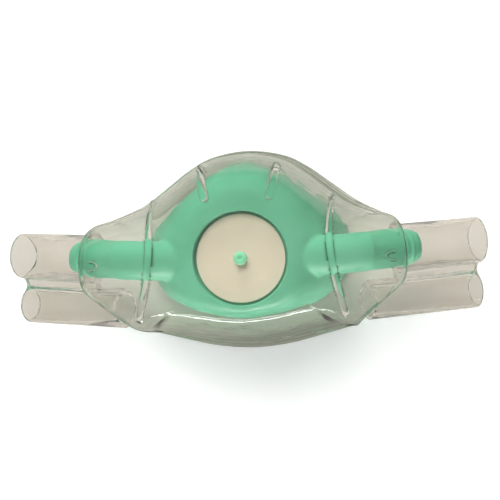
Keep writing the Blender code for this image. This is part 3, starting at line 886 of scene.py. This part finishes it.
def spoke(number):
    """One bar of the seat, from its hub to its ring."""
    bm = bmesh.new()
    bmesh.ops.create_cube(bm, size=1.0)
    bmesh.ops.scale(bm, vec=Vector(SPOKE_SIZE) * MM, verts=bm.verts)
    turn = Matrix.Rotation((number + 0.5) * math.tau / SPOKES, 4, "Z")
    middle = (SEAT_OPENING + HUB_RADIUS) / 2
    shift = Matrix.Translation(Vector((middle, 0.0, LEDGE_TOP - SPOKE_DROP)) * MM)
    bm.transform(Matrix.Translation((0, VALVE_Y * MM, 0)) @ turn @ shift)
    return object_from(bm, "spoke")


def valve_seat():
    """Stepped ring with four spokes and a bored hub, seen from behind."""
    step = LEDGE_BOTTOM - GAP
    wide, raised = RECESS_RADIUS - GAP, LEDGE_RADIUS - GAP
    profile = [
        (wide, step),
        (wide, SEAT_BOTTOM),
        (SEAT_OPENING, SEAT_BOTTOM),
        (SEAT_OPENING, LEDGE_TOP),
        (raised, LEDGE_TOP),
        (raised, step),
    ]
    seat = turned_upright("green_valve_seat", profile, segments=96)
    for number in range(SPOKES):
        boolean(seat, "UNION", spoke(number))
    low = step - HUB_DROP
    hub = [(0.0, low), (HUB_RADIUS, low), (HUB_RADIUS, LEDGE_TOP), (0.0, LEDGE_TOP)]
    boolean(seat, "UNION", turned_upright("hub", hub, segments=48))
    low, high = SEAT_BOTTOM - CUT_MARGIN, LEDGE_TOP + CUT_MARGIN
    bore = [(0.0, low), (HOLE_RADIUS, low), (HOLE_RADIUS, high), (0.0, high)]
    boolean(seat, "DIFFERENCE", turned_upright("bore", bore, segments=32))
    soften_edges(seat, SEAT_EDGE, SEAT_EDGE_ANGLE)
    smooth_by_angle(seat, SEAT_SMOOTH)
    dark, light = (0.15, 0.50, 0.31), (0.19, 0.55, 0.35)
    plastic = soft_vinyl("green_seat_plastic", dark, light, rough=0.35, glow=0.1)
    dress(seat, plastic, "hood", "valve_seat")


def valve_stud():
    """Domed button with a dimple, a shank through the flap and a barb behind the hub."""
    low, high = [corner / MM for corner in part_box("valve_stud")]
    profile = [(radius, high.z - depth) for radius, depth in STUD_HEAD]
    profile += [(radius, low.z + height) for radius, height in STUD_BARB]
    stud = turned_upright("green_valve_stud", rounded(profile, STUD_ROUNDING), segments=64)
    smooth_by_angle(stud, STUD_SMOOTH)
    dark, light = (0.24, 0.68, 0.42), (0.29, 0.74, 0.47)
    vinyl = soft_vinyl("green_stud_vinyl", dark, light, rough=0.30, glow=0.2)
    dress(stud, vinyl, "hood", "valve_stud")


def valve_flap():
    """Thin silicone disc with a rounded edge, very slightly dished towards its stud."""
    upper = [(HOLE_RADIUS, FLAP_TOP - FLAP_DISH)]
    upper += [(radius, FLAP_TOP - FLAP_DISH * share) for radius, share in FLAP_DISH_SHARES]
    edge = [(FLAP_RADIUS, FLAP_TOP), (FLAP_RADIUS, FLAP_BOTTOM), (HOLE_RADIUS, FLAP_BOTTOM)]
    flap = turned_upright("silicone_flap", rounded(upper + edge, FLAP_ROUNDING), segments=128)
    smooth_by_angle(flap, FLAP_SMOOTH)
    dress(flap, pale_silicone("pale_flap_silicone"), "flap", "valve_flap")


# ---------------------------------------------------------------- twin tubes

# Points on each lumen's arc and along the web, and the angles that the web's fillets take up.
UPPER_POINTS = 73
LOWER_POINTS = 61
WEB_POINTS = 12
UPPER_FILLET = 0.16
LOWER_FILLET = 0.18
TUBE_RINGS = 24
TUBE_EDGE = 0.18
TUBE_EDGE_ANGLE = 60.0
TUBE_SMOOTH = 35.0


def arc(centre, radius, first, last, count):
    """Points on an arc between two angles, round a centre on the first axis."""
    angles = np.linspace(first, last, count)
    return [(centre + radius * math.cos(angle), radius * math.sin(angle)) for angle in angles]


def web_side(start, end, side):
    """One side of the web, from one lumen to the other, with a fillet at both ends."""
    half = WEB_THICKNESS / 2
    result = []
    for t in np.linspace(0, 1, WEB_POINTS)[1:-1]:
        lift = abs(2 * t - 1) ** 3
        edge = abs(start[1]) if t < 0.5 else abs(end[1])
        result.append((start[0] + (end[0] - start[0]) * t, side * (half + (edge - half) * lift)))
    return result


def section(radius_upper, radius_lower, centre):
    """Outline of the twin tube's section: an arc round each lumen and a filleted web between."""
    half = WEB_THICKNESS / 2
    open_upper = math.asin(half / radius_upper) + UPPER_FILLET
    open_lower = math.asin(half / radius_lower) + LOWER_FILLET
    upper = arc(0.0, radius_upper, open_upper, math.tau - open_upper, UPPER_POINTS)
    first, last = math.pi + open_lower, 3 * math.pi - open_lower
    lower = arc(math.hypot(*centre), radius_lower, first, last, LOWER_POINTS)
    outline = upper + web_side(upper[-1], lower[0], -1) + lower + web_side(lower[-1], upper[0], 1)
    turn = math.atan2(centre[1], centre[0])
    cos, sin = math.cos(turn), math.sin(turn)
    return [(x * cos - y * sin, x * sin + y * cos) for x, y in outline]


def twin_tube(name, side, vinyl):
    """A tapering double extrusion, bored through, with its upper lumen cut back at the hood."""
    end, out, across, up = tube_axes(side)
    centre = (LOWER_BELOW, LOWER_ACROSS)
    points = []
    for k in range(TUBE_RINGS + 1):
        back = TUBE_LENGTH * (1 - k / TUBE_RINGS)
        radius = UPPER_END_RADIUS + (UPPER_HOOD_RADIUS - UPPER_END_RADIUS) * back / TUBE_LENGTH
        for u, v in section(radius, LOWER_RADIUS, centre):
            points.append(end - out * back + up * u + across * v)
    width = len(points) // (TUBE_RINGS + 1)
    faces = skin_faces(TUBE_RINGS + 1, width, False)
    faces.append(tuple(range(width)))
    faces.append(tuple(range(TUBE_RINGS * width, (TUBE_RINGS + 1) * width)))
    tube = mesh_object("clear_twin_tube_" + name, points, faces)
    low, high = -TUBE_LENGTH - CUT_MARGIN, CUT_MARGIN
    shoulder = ARM_TIP - SHOULDER_GAP
    narrow = UPPER_BORE - SHOULDER_STEP
    upper = [
        (0.0, low),
        (UPPER_BORE, low),
        (UPPER_BORE, -shoulder),
        (narrow, -shoulder + SHOULDER_SLOPE),
        (narrow, high),
        (0.0, high),
    ]
    lower_end = end + up * LOWER_BELOW + across * LOWER_ACROSS
    lower = [(0.0, low), (LOWER_BORE, low), (LOWER_BORE, high), (0.0, high)]
    beyond = [(0.0, low), (CUT_BACK_RADIUS, low), (CUT_BACK_RADIUS, -UPPER_LENGTH), (0.0, -UPPER_LENGTH)]
    boolean(tube, "DIFFERENCE", turned("bore", upper, end, out, segments=96))
    boolean(tube, "DIFFERENCE", turned("bore", lower, lower_end, out, segments=80))
    boolean(tube, "DIFFERENCE", turned("cut_back", beyond, end, out, segments=96))
    soften_edges(tube, TUBE_EDGE, TUBE_EDGE_ANGLE)
    smooth_by_angle(tube, TUBE_SMOOTH)
    dress(tube, vinyl, "tube_" + name, "twin_tube_" + name)


def twin_tubes():
    """Both twin tubes, of one clear vinyl without painted crease shade."""
    vinyl = clear_plastic(
        "clear_tube_vinyl",
        face_on=(0.98, 0.97, 0.96),
        edge_on=(0.80, 0.78, 0.74),
        painted_crease_shade=WHITE,
        rough=0.03,
        wave=0.00010,
        shadow=(0.96, 0.96, 0.95),
        index=1.25,
    )
    for name, side in SIDES:
        twin_tube(name, side, vinyl)


# ---------------------------------------------------------------- stage

# Lengths here are metres, angles degrees and powers watts.
FLOOR_REACH = 3.0
FLOOR_DROP = 0.0001
# The sky's two greys, and the heights at which its ramp reaches them.
HORIZON = (0.03, 0.03, 0.03, 1.0)
HORIZON_LEVEL = 0.2
ZENITH = (0.53, 0.53, 0.53, 1.0)
ZENITH_LEVEL = 0.9
# Name, place, target, size and power.
KEY_LIGHT = ("key_light", (-0.4, 1.6, 1.9), (0.0, 0.0, 0.0), (1.8, 1.3), 54.0)
SIDE_LIGHT = ("side_light", (-0.2, 1.5, 0.45), (0.0, 0.0, 0.02), (0.8, 0.3), 14.0)
STRIP_LIGHT = ("strip_light", (0.0, -0.6, 0.10), (0.0, 0.0, 0.02), (0.5, 0.05), 2.2)
CAMERA_SENSOR = 0.036
CAMERA_DISTANCE = 0.9
CAMERA_SPAN = 0.165
CAMERA_YAW = 5.5
CAMERA_ROLL = 2.05
CAMERA_TARGET = (0.0006, -0.0003, 0.012)


def area_light(name, place, target, size, power):
    """A rectangular light that faces its target."""
    lamp = bpy.data.lights.new(name, "AREA")
    lamp.shape = "RECTANGLE"
    lamp.size, lamp.size_y = size
    lamp.energy = power
    obj = link(bpy.data.objects.new(name, lamp))
    obj.location = place
    obj.rotation_mode = "QUATERNION"
    obj.rotation_quaternion = (Vector(target) - Vector(place)).to_track_quat("-Z", "Y")
    return obj


def keep_below_tubes(floor):
    """The tubes slide down as they are pulled off, and the floor goes down with the lower one."""
    curve = floor.driver_add("location", 2)
    curve.driver.type = "SCRIPTED"
    names = []
    for name, _ in SIDES:
        names.append("drop_" + name)
        drop = curve.driver.variables.new()
        drop.name = names[-1]
        drop.type = "TRANSFORMS"
        drop.targets[0].id = bpy.data.objects["body:tube_" + name]
        drop.targets[0].transform_type = "LOC_Z"
        drop.targets[0].transform_space = "WORLD_SPACE"
    curve.driver.expression = "min(%s) + %.6f" % (", ".join(names), floor.location.z)


def floor_sheet():
    """A large sheet just below the hood's rim."""
    bm = bmesh.new()
    bmesh.ops.create_grid(bm, x_segments=8, y_segments=8, size=FLOOR_REACH)
    floor = object_from(bm, "floor")
    floor.location.z = CAD_BOX[0].z - FLOOR_DROP
    floor.data.materials.append(floor_paper())
    keep_below_tubes(floor)


def studio_sky():
    """A grey sky, dark at its horizon, so that steep edges of clear plastic read as dark lines."""
    world = bpy.data.worlds.new("studio")
    bpy.context.scene.world = world
    world.use_nodes = True
    tree = world.node_tree
    place = tree.nodes.new("ShaderNodeTexCoord")
    split = tree.nodes.new("ShaderNodeSeparateXYZ")
    ramp = tree.nodes.new("ShaderNodeValToRGB")
    ramp.color_ramp.elements[0].position = HORIZON_LEVEL
    ramp.color_ramp.elements[0].color = HORIZON
    ramp.color_ramp.elements[1].position = ZENITH_LEVEL
    ramp.color_ramp.elements[1].color = ZENITH
    tree.links.new(place.outputs["Generated"], split.inputs["Vector"])
    tree.links.new(split.outputs["Z"], ramp.inputs["Fac"])
    tree.links.new(ramp.outputs["Color"], tree.nodes["Background"].inputs["Color"])
    tree.nodes["Background"].inputs["Strength"].default_value = 1.0


def studio_lights():
    """Two soft lights that show no reflection of themselves, and a low strip that does."""
    for light in (KEY_LIGHT, SIDE_LIGHT):
        soft = area_light(*light)
        soft.visible_glossy = False
        soft.visible_transmission = False
    area_light(*STRIP_LIGHT)


def camera():
    """A long lens straight above the hood, turned a little about Y and rolled, as in the photo."""
    data = bpy.data.cameras.new("camera")
    data.sensor_width = CAMERA_SENSOR / MM
    data.lens = data.sensor_width * CAMERA_DISTANCE / CAMERA_SPAN
    obj = link(bpy.data.objects.new("camera", data))
    yaw = math.radians(CAMERA_YAW)
    back = Vector((math.sin(yaw), 0.0, math.cos(yaw)))
    obj.location = Vector(CAMERA_TARGET) + back * CAMERA_DISTANCE
    right = Vector((math.cos(yaw), 0.0, -math.sin(yaw)))
    turn = Matrix((right, Vector((0.0, 1.0, 0.0)), back)).transposed()
    roll = Matrix.Rotation(math.radians(-CAMERA_ROLL), 3, "Z")
    obj.rotation_mode = "QUATERNION"
    obj.rotation_quaternion = (turn @ roll).to_quaternion()
    bpy.context.scene.camera = obj


def look():
    """Plain colours, and enough bounces for light to get through nested clear walls."""
    scene = bpy.context.scene
    scene.view_settings.view_transform = "Standard"
    scene.view_settings.look = "None"
    scene.cycles.max_bounces = 40
    scene.cycles.glossy_bounces = 24
    scene.cycles.transmission_bounces = 24
    scene.cycles.transparent_max_bounces = 24


outer_hood()
inner_mask()
valve_seat()
valve_stud()
valve_flap()
twin_tubes()
floor_sheet()
studio_sky()
studio_lights()
camera()
look()
